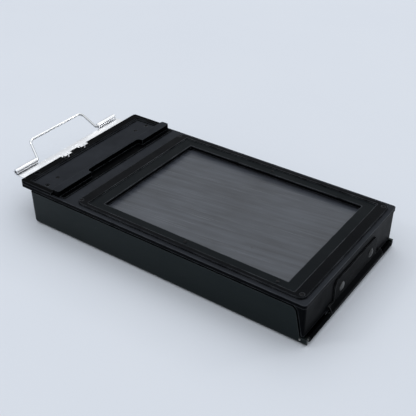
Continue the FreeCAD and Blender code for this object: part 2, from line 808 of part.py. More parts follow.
def make_trap_spring():
    """Thin bronze strip behind the upper felt of the light trap."""
    reach = slide_width / 2
    x = felt_starts()[1] + felt_width + trap_spring_thickness
    flat = box(x, x + trap_spring_foot, -reach, reach, plate_bottom - trap_spring_thickness, plate_bottom)
    tip = box(x, x + trap_spring_thickness, -reach, reach, slide_top + felt_clearance, plate_bottom)
    return fuse([flat, tip])


def make_catch_springs():
    """Bowed springs on the frame's skirts that grip the shell's side walls and hold it shut."""
    x_mid = -half_length + catch_spring_inset
    crown_y = skirt_outer + skirt_clearance - catch_spring_clearance
    z1 = flange_bottom - catch_spring_drop
    ends = [V(x_mid + side * catch_spring_half, skirt_outer, z1) for side in (-1, 1)]
    bow = Part.Arc(ends[0], V(x_mid, crown_y, z1), ends[1]).toShape()
    chord = Part.LineSegment(ends[1], ends[0]).toShape()
    spring = Part.Face(Part.Wire([bow, chord])).extrude(V(0, 0, -catch_spring_height))
    return group([spring, spring.mirror(V(0, 0, 0), V(0, 1, 0))])


# ---------------------------------------------------------------- dark slide side
def make_dark_slide():
    """Thin metal sheet that covers the film."""
    sheet = rounded_block(slide_start_x, slide_end_x, -slide_width / 2, slide_width / 2,
                          slide_bottom, slide_top, slide_corner)
    for y in grip_rivet_ys():
        sheet = sheet.cut(rod_z(grip_rivet_x(), y, rivet_shank, slide_bottom - clear, slide_top + clear))
    return sheet


def grip_rivet_x():
    """Rivets that join the grip plate to the dark slide."""
    return (slide_start_x - half_length) / 2


def grip_rivet_ys():
    """The two rivets across the grip plate."""
    return [side * grip_rivet_spread / 2 for side in (-1, 1)]


def barrel_span(side):
    """Where one barrel begins and ends across the width."""
    inner = grip_offset_y + side * barrel_inner_y
    return sorted((inner, inner + side * barrel_length))


def make_grip_plate():
    """Bright plate: two rolled barrels at its outer edge and two forked tongues bent up at the rim."""
    inner_x = -half_length - grip_gap
    tangent_x = barrel_axis_x + barrel_radius / 3
    plate = box(tangent_x, inner_x, grip_offset_y - grip_width / 2, grip_offset_y + grip_width / 2,
                grip_bottom, grip_top)
    plate = plate.cut(box(barrel_axis_x, barrel_axis_x + barrel_radius + grip_gap, barrel_span(-1)[1],
                          barrel_span(1)[0], grip_bottom - clear, grip_top + clear))
    parts = [plate]
    for side in (-1, 1):
        y0, y1 = barrel_span(side)
        roll = rod_y(barrel_axis_x, barrel_axis_z, barrel_radius, y0, y1)
        seam = box(barrel_axis_x, barrel_axis_x + 2 * barrel_radius, y0 - clear, y1 + clear,
                   grip_top, grip_top + barrel_seam)
        foot = box(barrel_axis_x, tangent_x + barrel_radius, y0, y1, grip_bottom, grip_top)
        parts.append(roll.cut(seam).fuse(foot))
    tongue_x = -half_length + tongue_setback
    for y in notch_centres_y:
        for side in (-1, 1):
            inner_y = y + side * tongue_prong_gap / 2
            ya, yb = sorted((inner_y, inner_y + side * tongue_prong_width))
            parts.append(box(inner_x - grip_thickness, tongue_x + tongue_thickness, ya, yb,
                             grip_bottom, grip_top))
            parts.append(box(tongue_x, tongue_x + tongue_thickness, ya, yb,
                             grip_bottom, cover_top + tongue_proud))
    grip = fuse(parts)
    grip = grip.cut(rod_y(barrel_axis_x, barrel_axis_z, wire_radius + wire_clearance,
                          -half_width, half_width))
    for y in grip_rivet_ys():
        grip = grip.cut(rod_z(grip_rivet_x(), y, rivet_shank, grip_bottom - clear, grip_top + clear))
    return grip.removeSplitter()


def make_grip_rivets():
    """Two small rivets, set flush under the dark slide."""
    return group([rivet_z(grip_rivet_x(), y, grip_top, rivet_radius, rivet_head_rise,
                          grip_top - slide_bottom) for y in grip_rivet_ys()])


def make_bail():
    """Bent wire handle: two feet in the barrels, two leaning legs and a straight bar."""
    angle = math.radians(bail_angle_deg)
    out = V(math.cos(angle), 0, math.sin(angle))
    origin = V(barrel_axis_x, grip_offset_y, barrel_axis_z)
    foot_y = barrel_inner_y - bail_foot_bend_radius
    front, back = [[origin + V(0, side * (barrel_inner_y + bail_foot_depth), 0),
                    origin + V(0, side * foot_y, 0),
                    origin + out * bail_reach + V(0, side * bail_bar_half, 0)] for side in (-1, 1)]
    radii = [None, bail_foot_bend_radius, bail_bend_radius,
             bail_bend_radius, bail_foot_bend_radius, None]
    return wire_along(front + back[::-1], radii, wire_radius)


def wire_along(points, radii, radius):
    """Round wire along straight runs joined by tangent arcs, built run by run and joined."""
    pieces = []
    start = points[0]
    for n in range(1, len(points) - 1):
        p = points[n]
        u = (points[n - 1] - p).normalize()
        w = (points[n + 1] - p).normalize()
        half_turn = u.getAngle(w) / 2
        cut_back = radii[n] / math.tan(half_turn)
        a = p + u * cut_back
        b = p + w * cut_back
        bisector = (u + w).normalize()
        centre = p + bisector * (radii[n] / math.sin(half_turn))
        mid = centre - bisector * radii[n]
        pieces.append(Part.LineSegment(start, a).toShape())
        pieces.append(Part.Arc(a, mid, b).toShape())
        start = b
    pieces.append(Part.LineSegment(start, points[-1]).toShape())
    path = Part.Wire(pieces)
    direction = (points[1] - points[0]).normalize()
    circle = Part.Wire(Part.makeCircle(radius, points[0], direction))
    return path.makePipeShell([circle], True, False)


# ---------------------------------------------------------------- film stack
def make_pressure_plate():
    """Flat plate under the film stack."""
    half_x = film_length / 2 + sheath_margin_x - pressure_plate_margin
    half_y = film_width / 2 + sheath_margin_y - pressure_plate_margin
    return rounded_block(window_centre_x - half_x, window_centre_x + half_x, -half_y, half_y,
                         stack_bottom - pressure_plate_thickness, stack_bottom, pressure_plate_corner)


def make_film_sheath(level):
    """Thin metal sheath: a sheet with its edges folded over the film on three sides."""
    half_x = film_length / 2 + sheath_margin_x
    half_y = film_width / 2 + sheath_margin_y
    z0 = stack_bottom + level * sheath_pitch
    body = rounded_block(window_centre_x - half_x, window_centre_x + half_x, -half_y, half_y,
                         z0, z0 + sheath_height, sheath_corner)
    pocket_x = film_length / 2 + film_side_clearance
    pocket_y = film_width / 2 + film_side_clearance
    pocket = box(window_centre_x - pocket_x, window_centre_x + pocket_x, -pocket_y, pocket_y,
                 z0 + sheath_sheet, z0 + sheath_height - sheath_sheet)
    opening = box(window_centre_x - pocket_x + sheath_lip, window_centre_x + pocket_x - sheath_lip,
                  -pocket_y + sheath_lip, pocket_y - sheath_lip,
                  z0 + sheath_sheet, z0 + sheath_height + clear)
    return body.cut(fuse([pocket, opening]))


def make_film_sheet(level):
    """One sheet of film lying in its sheath."""
    z0 = stack_bottom + level * sheath_pitch + sheath_sheet + film_lift
    return box(window_centre_x - film_length / 2, window_centre_x + film_length / 2,
               -film_width / 2, film_width / 2, z0, z0 + film_thickness)


def build_nodes():
    """Every piece by name."""
    nodes = {
        "back_shell": make_back_shell(),
        "back_hinge_leaf": make_back_hinge_leaf(),
        "back_hinge_rivets": make_back_hinge_rivets(),
        "corner_rivets": make_corner_rivets(),
        "hinge_pin": make_hinge_pin(),
        "pressure_spring_front": make_pressure_spring(-spring_y),
        "pressure_spring_back": make_pressure_spring(spring_y),
        "spring_rivets": make_spring_rivets(),
        "sheath_guides": make_sheath_guides(),
        "front_frame": make_front_frame(),
        "handle_cover": make_handle_cover(),
        "cover_rivets": make_cover_rivets(),
        "cover_screws": make_cover_screws(),
        "locating_rib": make_locating_rib(),
        "window_plate": make_window_plate(),
        "plate_screws": make_plate_screws(),
        "frame_hinge_leaf": make_frame_hinge_leaf(),
        "frame_hinge_rivets": make_frame_hinge_rivets(),
        "slide_guide_front": make_slide_guide(-1),
        "slide_guide_back": make_slide_guide(1),
        "slide_end_spacer": make_slide_end_spacer(),
        "film_gate": make_film_gate(),
        "gate_screws": make_gate_screws(),
        "chamber_partition": make_chamber_partition(),
        "trap_bar": make_trap_bar(),
        "upper_trap_felt": make_felts(slide_top + felt_clearance, plate_bottom),
        "lower_trap_felt": make_felts(gate_top, slide_bottom - felt_clearance),
        "trap_spring": make_trap_spring(),
        "catch_springs": make_catch_springs(),
        "dark_slide": make_dark_slide(),
        "grip_plate": make_grip_plate(),
        "grip_rivets": make_grip_rivets(),
        "bail": make_bail(),
        "pressure_plate": make_pressure_plate(),
    }
    for level in range(sheath_count):
        nodes["film_sheath_%d" % (level + 1)] = make_film_sheath(level)
        nodes["film_sheet_%d" % (level + 1)] = make_film_sheet(level)
    return nodes


os.makedirs("parts", exist_ok=True)
for name, shape in build_nodes().items():
    shape.exportStep("parts/%s.step" % name)
    print("%-24s solids %d  valid %s  volume %.1f"
          % (name, len(shape.Solids), shape.isValid(), shape.Volume))
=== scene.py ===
import json
import math

import bpy
import numpy as np
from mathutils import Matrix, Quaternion, Vector


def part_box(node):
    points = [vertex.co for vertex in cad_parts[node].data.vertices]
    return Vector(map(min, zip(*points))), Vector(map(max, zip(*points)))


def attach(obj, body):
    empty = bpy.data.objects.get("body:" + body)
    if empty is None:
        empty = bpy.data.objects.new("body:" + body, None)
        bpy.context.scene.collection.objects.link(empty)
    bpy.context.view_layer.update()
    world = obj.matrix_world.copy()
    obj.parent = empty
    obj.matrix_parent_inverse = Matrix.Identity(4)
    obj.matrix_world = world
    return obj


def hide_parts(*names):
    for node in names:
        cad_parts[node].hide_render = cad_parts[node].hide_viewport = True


# Metres, in the frame of the CAD model: the handle is at -X, the hinge at +X and the lens side up.

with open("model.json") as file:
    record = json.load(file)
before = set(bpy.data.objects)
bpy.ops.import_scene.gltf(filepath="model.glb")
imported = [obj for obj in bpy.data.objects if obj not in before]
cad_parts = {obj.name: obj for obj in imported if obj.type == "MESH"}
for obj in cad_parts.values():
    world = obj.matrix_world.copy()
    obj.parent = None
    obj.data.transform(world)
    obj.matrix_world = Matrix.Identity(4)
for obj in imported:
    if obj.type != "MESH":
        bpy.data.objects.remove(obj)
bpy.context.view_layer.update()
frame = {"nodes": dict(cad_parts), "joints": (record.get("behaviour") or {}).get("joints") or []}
nodes = frame["nodes"]

# ================================================================ back shell
# The tray that the film stack lies in. It is drawn from one sheet of steel with a round lower edge,
# then stoved with gloss black lacquer, which has rubbed thin along the edges and dulled in patches.
# The lighter colour along its edges stands partly for that wear and partly for a painted highlight.

shell_black = (0.0022, 0.0030, 0.0032)
shell_rub = (0.016, 0.019, 0.020)
shell_bare_and_glint = (0.060, 0.066, 0.070)
shell_sheen = 0.18
shell_tint = (0.62, 0.92, 0.96, 1.0)
shell_gloss = (0.28, 0.42)
peel_pitch = 0.0007
peel_depth = 0.000012
# The band along each edge that is painted lighter: worn lacquer and a painted highlight.
wear_and_glint_width = 0.0005
pressed_edge = 0.00022


def add_node(tree, kind, inputs=(), **settings):
    """One shader node. An input is a value for the socket, or another node's output to join to it."""
    made = tree.nodes.new(kind)
    for name, value in settings.items():
        setattr(made, name, value)
    for name, value in dict(inputs).items():
        if isinstance(value, bpy.types.NodeSocket):
            tree.links.new(value, made.inputs[name])
        else:
            made.inputs[name].default_value = value
    return made


def mottle(tree, pitch, turn=0.0, detail=3.0, at=(0.0, 0.0, 0.0)):
    """Noise from 0 to 1 on the piece's own metres, one blob for each pitch (x, y, z), turned about Z."""
    place = add_node(tree, "ShaderNodeTexCoord").outputs["Object"]
    turned = add_node(tree, "ShaderNodeMapping",
                      {"Vector": place, "Location": at, "Rotation": (0.0, 0.0, turn)})
    stretched = add_node(tree, "ShaderNodeMapping",
                         {"Vector": turned.outputs["Vector"], "Scale": tuple(1.0 / p for p in pitch)})
    noise = add_node(tree, "ShaderNodeTexNoise",
                     {"Vector": stretched.outputs["Vector"], "Scale": 1.0, "Detail": detail,
                      "Roughness": 0.6})
    return noise.outputs["Fac"]


def spread(tree, value, start, stop, low=0.0, high=1.0):
    """Where value runs from start to stop, the result runs from low to high, and is held outside that."""
    scaled = add_node(tree, "ShaderNodeMapRange",
                      {"Value": value, "From Min": start, "From Max": stop, "To Min": low, "To Max": high})
    return scaled.outputs["Result"]


def both(tree, first, second, how="MULTIPLY"):
    """Two values joined by one sum or product, held between 0 and 1."""
    joined = add_node(tree, "ShaderNodeMath", operation=how, use_clamp=True)
    for slot, value in enumerate((first, second)):
        if isinstance(value, bpy.types.NodeSocket):
            tree.links.new(value, joined.inputs[slot])
        else:
            joined.inputs[slot].default_value = value
    return joined.outputs["Value"]


def blend_colour(tree, share, under, over):
    """The colour under where share is 0 and over where it is 1."""
    mixed = add_node(tree, "ShaderNodeMix", data_type="RGBA")
    tree.links.new(share, mixed.inputs["Factor"])
    for name, colour in (("A", under), ("B", over)):
        socket = next(i for i in mixed.inputs if i.name == name and i.type == "RGBA")
        if isinstance(colour, bpy.types.NodeSocket):
            tree.links.new(colour, socket)
        else:
            socket.default_value = (*colour, 1.0)
    return next(o for o in mixed.outputs if o.type == "RGBA")


def edge_wear_and_glint(tree, width):
    """1 on an edge and 0 on a flat: how far the normal, averaged over width, turns from the true one."""
    rounded = add_node(tree, "ShaderNodeBevel", {"Radius": width}, samples=6).outputs["Normal"]
    true = add_node(tree, "ShaderNodeNewGeometry").outputs["Normal"]
    dot = add_node(tree, "ShaderNodeVectorMath", operation="DOT_PRODUCT")
    tree.links.new(rounded, dot.inputs[0])
    tree.links.new(true, dot.inputs[1])
    return spread(tree, dot.outputs["Value"], 0.995, 0.86)


def surface_bump(tree, height, depth):
    """A normal from a height between 0 and 1 that stands for depth metres."""
    bump = add_node(tree, "ShaderNodeBump", {"Height": height, "Strength": 1.0, "Distance": depth})
    return bump.outputs["Normal"]


def new_finish(name, **constants):
    """An empty material whose shader has the given constant inputs: its tree and its shader."""
    finish = bpy.data.materials.new(name)
    finish.use_nodes = True
    shader = finish.node_tree.nodes["Principled BSDF"]
    for socket, value in constants.items():
        shader.inputs[socket.replace("_", " ")].default_value = value
    return finish, finish.node_tree, shader


def level_dust_and_sheen(tree, bottom, top):
    """1 on faces that look up and lie between two heights: there a paler colour stands both for a dusty
    film and for painted sheen.
    """
    shape = add_node(tree, "ShaderNodeNewGeometry")
    up = add_node(tree, "ShaderNodeSeparateXYZ", {"Vector": shape.outputs["True Normal"]}).outputs["Z"]
    place = add_node(tree, "ShaderNodeTexCoord").outputs["Object"]
    height = add_node(tree, "ShaderNodeSeparateXYZ", {"Vector": place}).outputs["Z"]
    over = spread(tree, height, bottom - 0.0001, bottom + 0.0001)
    under = spread(tree, height, top - 0.0001, top + 0.0001, 1.0, 0.0)
    cloud = spread(tree, mottle(tree, (0.010, 0.010, 0.010), 0.0, 5.0), 0.25, 0.75, 0.65, 1.0)
    level = both(tree, spread(tree, up, 0.8, 0.95), cloud)
    return both(tree, level, both(tree, over, under))


def black_lacquer(name, colours, sheen, tint, gloss, rub_turn=0.0, wear_and_glint_amount=0.6, paler_coat=None):
    """Stoved lacquer: black, rubbed grey along hairlines, and lighter along its edges, where the colour
    stands both for lacquer rubbed through to metal and for a painted highlight. Its gloss runs between two
    values in soft patches, and it has a fine orange-peel skin. The optional colour for level faces, with
    the two heights they lie between, stands both for a dusty film there and for painted sheen."""
    black, rubbed, bare_and_glint = colours
    finish, tree, shader = new_finish(name, Specular_IOR_Level=sheen, Specular_Tint=tint)
    patches = mottle(tree, (0.014, 0.014, 0.014))
    hairlines = spread(tree, mottle(tree, (0.030, 0.00035, 0.0009), rub_turn, 4.0), 0.62, 0.78)
    specks = spread(tree, mottle(tree, (0.0011, 0.0011, 0.0011), 0.0, 2.0), 0.70, 0.76)
    rubs = both(tree, both(tree, hairlines, spread(tree, patches, 0.35, 0.65)), specks, "ADD")
    # Below, edges take the third colour: partly lacquer worn through, partly a painted highlight.
    chips = spread(tree, mottle(tree, (0.0060, 0.0060, 0.0035), 0.0, 5.0), 0.34, 0.60, 0.25, 1.0)
    wear_and_glint_mask = both(tree, both(tree, edge_wear_and_glint(tree, wear_and_glint_width), chips), wear_and_glint_amount)
    coat = blend_colour(tree, rubs, black, rubbed)
    # Level faces that look up take a paler colour: partly a dusty film, partly painted sheen.
    if paler_coat:
        coat = blend_colour(tree, level_dust_and_sheen(tree, *paler_coat[1:]), coat, paler_coat[0])
    tree.links.new(blend_colour(tree, wear_and_glint_mask, coat, bare_and_glint), shader.inputs["Base Color"])
    dull = spread(tree, patches, 0.3, 0.7, *gloss)
    rubbed_dull = spread(tree, rubs, 0.0, 1.0, 0.0, 0.12)
    tree.links.new(both(tree, dull, rubbed_dull, "ADD"), shader.inputs["Roughness"])
    peel = mottle(tree, (peel_pitch,) * 3, 0.0, 2.0)
    tree.links.new(surface_bump(tree, peel, peel_depth), shader.inputs["Normal"])
    return finish


def dress(name, finish, edge_round):
    """Gives a CAD piece its finish and softens its edges: doubles are merged, flat faces are joined
    into one, and each sharp edge gets a small round."""
    piece = nodes[name]
    piece.data.materials.clear()
    piece.data.materials.append(finish)
    weld = piece.modifiers.new("weld", "WELD")
    weld.merge_threshold = 1e-6
    flat = piece.modifiers.new("flat", "DECIMATE")
    flat.decimate_type = "DISSOLVE"
    flat.angle_limit = math.radians(0.5)
    round_edge = piece.modifiers.new("round", "BEVEL")
    round_edge.width = edge_round
    round_edge.segments = 2
    round_edge.limit_method = "ANGLE"
    round_edge.angle_limit = math.radians(30)
    piece.modifiers.new("shade", "WEIGHTED_NORMAL")
    return piece


shell_lacquer = black_lacquer("shell_lacquer", (shell_black, shell_rub, shell_bare_and_glint), shell_sheen,
                              shell_tint, shell_gloss)
dress("back_shell", shell_lacquer, pressed_edge)

# ================================================================ back hinge leaf and pin
# A flat steel leaf riveted to the tray's floor. Its edge is rolled into the two outer knuckles, and
# one bright wire pin runs through all three. The corner rivets close the feet of the long walls.

hinge_colours = ((0.0015, 0.0017, 0.0020), (0.0055, 0.0060, 0.0070), (0.080, 0.083, 0.087))
hinge_sheen = 0.01
hinge_tint = (0.72, 0.84, 1.0, 1.0)
hinge_gloss = (0.24, 0.38)
cut_edge = 0.00010
turned_edge = 0.00008
fastener_edge = 0.00005


def bare_steel(name, light, dark, roughness):
    """Plain steel: a grey that darkens in small spots of tarnish, with fine turning lines."""
    finish, tree, shader = new_finish(name, Metallic=1.0)
    spots = spread(tree, mottle(tree, (0.0012, 0.0012, 0.0012), 0.0, 4.0), 0.42, 0.66)
    tree.links.new(blend_colour(tree, spots, light, dark), shader.inputs["Base Color"])
    tree.links.new(spread(tree, spots, 0.0, 1.0, roughness, roughness + 0.22), shader.inputs["Roughness"])
    lines = mottle(tree, (0.00012, 0.0016, 0.0016), 0.0, 2.0)
    tree.links.new(surface_bump(tree, lines, 0.000008), shader.inputs["Normal"])
    return finish


# Edges in this lacquer are painted lighter, partly as wear and partly as a painted highlight.
hinge_lacquer = black_lacquer("hinge_lacquer", hinge_colours, hinge_sheen, hinge_tint, hinge_gloss,
                              wear_and_glint_amount=1.0)
bright_steel = bare_steel("bright_steel", (0.11, 0.11, 0.108), (0.035, 0.035, 0.034), 0.24)
pin_steel = bare_steel("pin_steel", (0.42, 0.42, 0.41), (0.12, 0.12, 0.115), 0.22)
dark_fastener = bare_steel("dark_fastener", (0.018, 0.018, 0.020), (0.006, 0.006, 0.0065), 0.40)
dress("back_hinge_leaf", hinge_lacquer, cut_edge)
dress("back_hinge_rivets", dark_fastener, fastener_edge)
dress("hinge_pin", pin_steel, turned_edge)
dress("corner_rivets", pin_steel, turned_edge)

# ================================================================ pressure springs and sheath guides
# Two bowed strips of spring bronze, riveted to the floor by their middles, push the film stack
# towards the gate. Four folded angles, painted dull black, keep the stack square.

strip_edge = 0.00006
folded_edge = 0.00008


def spring_metal(name, light, dark):
    """Rolled spring bronze with brown tarnish and lines along its length."""
    finish, tree, shader = new_finish(name, Metallic=1.0)
    tarnish = spread(tree, mottle(tree, (0.006, 0.004, 0.004), 0.0, 5.0), 0.38, 0.68)
    rolled = mottle(tree, (0.012, 0.00025, 0.00025), 0.0, 3.0)
    tree.links.new(blend_colour(tree, tarnish, light, dark), shader.inputs["Base Color"])
    tree.links.new(spread(tree, rolled, 0.3, 0.7, 0.24, 0.42), shader.inputs["Roughness"])
    tree.links.new(surface_bump(tree, rolled, 0.000006), shader.inputs["Normal"])
    return finish


def dull_black(name, colour, paler_coat, grain_pitch):
    """Matt black paint with a sandy grain and pale dusty specks caught in it."""
    finish, tree, shader = new_finish(name, Specular_IOR_Level=0.22)
    dusty = spread(tree, mottle(tree, (0.009, 0.009, 0.009), 0.0, 5.0), 0.50, 0.80, 0.0, 0.55)
    tree.links.new(blend_colour(tree, dusty, colour, paler_coat), shader.inputs["Base Color"])
    grain = mottle(tree, (grain_pitch,) * 3, 0.0, 3.0)
    tree.links.new(spread(tree, grain, 0.3, 0.7, 0.62, 0.80), shader.inputs["Roughness"])
    tree.links.new(surface_bump(tree, grain, 0.00003), shader.inputs["Normal"])
    return finish


spring_bronze = spring_metal("spring_bronze", (0.50, 0.33, 0.17), (0.22, 0.13, 0.07))
inner_black = dull_black("inner_black", (0.006, 0.006, 0.0065), (0.020, 0.020, 0.021), 0.0005)
for name in ("pressure_spring_front", "pressure_spring_back"):
    dress(name, spring_bronze, strip_edge)
dress("spring_rivets", dark_fastener, fastener_edge)
dress("sheath_guides", inner_black, folded_edge)

# ================================================================ film stack
# Six thin steel sheaths, blackened and folded over on their edges, each with one sheet of film in
# it. They lie on a flat plate that the springs push up.

sheath_count = 6
film_edge = 0.00003
sheath_black = dull_black("sheath_black", (0.012, 0.012, 0.013), (0.032, 0.033, 0.035), 0.0004)
film_finish, film_tree, film_shader = new_finish("film_base", Specular_IOR_Level=0.4)
film_cloud = mottle(film_tree, (0.030, 0.020, 0.020), 0.0, 2.0)
film_tree.links.new(blend_colour(film_tree, film_cloud, (0.30, 0.26, 0.33), (0.38, 0.35, 0.40)),
                    film_shader.inputs["Base Color"])
film_tree.links.new(spread(film_tree, mottle(film_tree, (0.002, 0.002, 0.002)), 0.3, 0.7, 0.26, 0.36),
                    film_shader.inputs["Roughness"])
dress("pressure_plate", inner_black, cut_edge)
for level in range(1, sheath_count + 1):
    dress("film_sheath_%d" % level, sheath_black, folded_edge)
    dress("film_sheet_%d" % level, film_finish, film_edge)

# ================================================================ front frame
# The lid of the holder: a pressed steel frame with a flange all round, skirts that reach into the
# tray, and a wall that wraps round the hinge end. Satin black lacquer, with rubbed corners. Its lighter
# edges stand partly for that wear and partly for a painted highlight, and its level flange top is
# painted paler, partly as dust and partly as painted sheen.

frame_colours = ((0.0010, 0.0011, 0.0014), (0.0075, 0.0085, 0.0105), (0.080, 0.086, 0.095))
frame_sheen = 0.025
frame_tint = (0.66, 0.78, 1.0, 1.0)
frame_gloss = (0.32, 0.46)
# Paler colour of the flange's level top: partly dust, partly painted sheen.
frame_dust_and_sheen = (0.027, 0.0295, 0.035)
flange_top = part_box("front_frame")[1][2]
level_slack = 0.0005
leaf_edge = 0.00015
frame_lacquer = black_lacquer("frame_lacquer", frame_colours, frame_sheen, frame_tint, frame_gloss,
                              rub_turn=math.radians(4), wear_and_glint_amount=0.9,
                              paler_coat=(frame_dust_and_sheen, flange_top - level_slack, flange_top + level_slack))
dress("front_frame", frame_lacquer, pressed_edge)
dress("frame_hinge_leaf", hinge_lacquer, leaf_edge)
dress("frame_hinge_rivets", bright_steel, turned_edge)

# ================================================================ slide guides, gate and light trap
# Brass rails beside the dark slide, a spacer at its end and the flat gate that the film lies
# against are screwed up under the face plate. Felt and a bronze strip seal the slide at the handle.

brass_finish = spring_metal("guide_brass", (0.44, 0.31, 0.13), (0.18, 0.12, 0.06))
for name in ("slide_guide_front", "slide_guide_back"):
    dress(name, brass_finish, folded_edge)
for name in ("slide_end_spacer", "film_gate", "chamber_partition", "trap_bar"):
    dress(name, inner_black, cut_edge)
dress("gate_screws", dark_fastener, fastener_edge)
for name in ("trap_spring", "catch_springs"):
    dress(name, spring_bronze, fastener_edge)

felt_finish, felt_tree, felt_shader = new_finish("trap_felt", Specular_IOR_Level=0.1)
fibres = mottle(felt_tree, (0.00035, 0.0012, 0.00035), math.radians(30), 5.0)
felt_tree.links.new(blend_colour(felt_tree, fibres, (0.004, 0.004, 0.004), (0.022, 0.021, 0.020)),
                    felt_shader.inputs["Base Color"])
felt_tree.links.new(spread(felt_tree, fibres, 0.2, 0.8, 0.85, 1.0), felt_shader.inputs["Roughness"])
felt_tree.links.new(surface_bump(felt_tree, fibres, 0.00015), felt_shader.inputs["Normal"])
for name in ("upper_trap_felt", "lower_trap_felt"):
    dress(name, felt_finish, 0.0)

# ================================================================ handle cover and locating rib
# A raised cover over the light trap: a rim that steps down to a panel, held by two ringed rivets
# and two small screws. The rib beside it sits in the camera's groove and carries the wear of it.
# The panel and the rib's top are painted paler than the rim, partly as dust and partly as painted
# sheen, and their edges lighter, partly as wear and partly as a painted highlight.

cover_colours = ((0.0007, 0.0008, 0.0010), (0.0050, 0.0056, 0.0068), (0.062, 0.067, 0.074))
cover_sheen = 0.015
rib_sheen = 0.010
cover_gloss = (0.30, 0.44)
cross_rub = math.radians(86)
cover_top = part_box("handle_cover")[1][2]
panel_drop = 0.00095
rib_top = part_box("locating_rib")[1][2]
rib_edge = 0.00030
cover_lacquer = black_lacquer("cover_lacquer", cover_colours, cover_sheen, frame_tint, cover_gloss,
                              rub_turn=cross_rub, wear_and_glint_amount=0.7,
                              paler_coat=(frame_dust_and_sheen, flange_top, cover_top - panel_drop / 2))
rib_lacquer = black_lacquer("rib_lacquer", cover_colours, rib_sheen, frame_tint, cover_gloss,
                            rub_turn=cross_rub, wear_and_glint_amount=0.9,
                            paler_coat=(frame_dust_and_sheen, rib_top - level_slack, rib_top + level_slack))
dress("handle_cover", cover_lacquer, pressed_edge)
dress("locating_rib", rib_lacquer, rib_edge)
dress("cover_rivets", hinge_lacquer, fastener_edge)
dress("cover_screws", dark_fastener, fastener_edge)

# ================================================================ window plate and its screws
# The plate that seats against the camera: a ridge all round a sunk border, screwed down at its
# corners and beside the window. Black lacquer, polished along the ridge by its seat. The lighter
# colour along its edges stands partly for that polish and wear and partly for a painted highlight,
# and its level faces just above the flange top are painted paler, partly as dust and partly as
# painted sheen.

plate_colours = ((0.0011, 0.0013, 0.0017), (0.0080, 0.0088, 0.0108), (0.095, 0.100, 0.110))
plate_sheen = 0.035
plate_gloss = (0.28, 0.42)
# Paler colour of the plate's level faces just above the flange: partly dust, partly painted sheen.
border_dust_and_sheen = (0.007, 0.009, 0.010)
plate_lacquer = black_lacquer("plate_lacquer", plate_colours, plate_sheen, frame_tint, plate_gloss,
                              rub_turn=math.radians(2), wear_and_glint_amount=1.0,
                              paler_coat=(border_dust_and_sheen, flange_top, flange_top + level_slack))
dress("window_plate", plate_lacquer, leaf_edge)
dress("plate_screws", dark_fastener, fastener_edge)

# ================================================================ dark slide
# A thin sheet of dark satin metal that runs in felt: it is streaked and scratched along its length
# by the trap, with a few dull stains where it has been handled.

slide_dark = (0.015, 0.0175, 0.024)
slide_light = (0.078, 0.086, 0.104)
slide_stain = (0.014, 0.015, 0.018)
slide_scratch = (0.17, 0.18, 0.20)
slide_edge = 0.00006


def slide_metal(name):
    """Satin grey sheet: broad streaks and hairline scratches that lie a few degrees off its length."""
    finish, tree, shader = new_finish(name, Specular_IOR_Level=0.45)
    streaks = mottle(tree, (0.045, 0.0021, 0.002), math.radians(-8), 5.0)
    broad = mottle(tree, (0.026, 0.015, 0.015), math.radians(-8), 3.0, (0.02, 0.0, 0.0))
    lines = spread(tree, mottle(tree, (0.030, 0.00022, 0.0003), math.radians(-5), 3.0), 0.62, 0.74)
    crossing = spread(tree, mottle(tree, (0.016, 0.00018, 0.0003), math.radians(-50), 2.0), 0.72, 0.80)
    stains = spread(tree, mottle(tree, (0.0045, 0.0030, 0.003), 0.0, 4.0), 0.68, 0.75, 0.0, 0.5)
    tone = both(tree, spread(tree, streaks, 0.28, 0.72, 0.0, 0.55),
                spread(tree, broad, 0.3, 0.7, 0.0, 0.45), "ADD")
    grey = blend_colour(tree, tone, slide_dark, slide_light)
    grey = blend_colour(tree, stains, grey, slide_stain)
    marks = both(tree, lines, both(tree, crossing, 0.6), "ADD")
    scratched = blend_colour(tree, both(tree, marks, 0.8), grey, slide_scratch)
    tree.links.new(scratched, shader.inputs["Base Color"])
    tree.links.new(spread(tree, tone, 0.0, 1.0, 0.34, 0.50), shader.inputs["Roughness"])
    tree.links.new(surface_bump(tree, streaks, 0.00002), shader.inputs["Normal"])
    return finish


dress("dark_slide", slide_metal("slide_metal"), slide_edge)

# ================================================================ grip plate
# Nickelled plate on the end of the slide. Its outer edge is rolled into two barrels for the bail,
# and two forked tongues spring up into notches in the rim.

flush_edge = 0.00003


def plated_metal(name, light, dark, roughness):
    """Nickel or chrome: bright, with a grey haze, fine rubs and darker flecks."""
    finish, tree, shader = new_finish(name, Metallic=1.0)
    haze = mottle(tree, (0.007, 0.007, 0.007), 0.0, 4.0)
    flecks = spread(tree, mottle(tree, (0.0006, 0.0006, 0.0006), 0.0, 3.0), 0.66, 0.76, 0.0, 0.7)
    plate = blend_colour(tree, spread(tree, haze, 0.35, 0.7), light, dark)
    tree.links.new(blend_colour(tree, flecks, plate, (0.34, 0.34, 0.33)), shader.inputs["Base Color"])
    tree.links.new(spread(tree, haze, 0.3, 0.7, *roughness), shader.inputs["Roughness"])
    rubs = mottle(tree, (0.0003, 0.004, 0.0008), 0.0, 3.0)
    tree.links.new(surface_bump(tree, rubs, 0.000006), shader.inputs["Normal"])
    return finish


grip_nickel = plated_metal("grip_nickel", (0.93, 0.93, 0.94), (0.78, 0.79, 0.81), (0.22, 0.38))
dress("grip_plate", grip_nickel, slide_edge)
dress("grip_rivets", dark_fastener, flush_edge)

# ================================================================ bail
# The wire handle that pulls the slide: round spring wire, bent square and chromed. Its two feet are
# sprung into the rolled barrels, so the legs turn stiffly and stay where they are put.

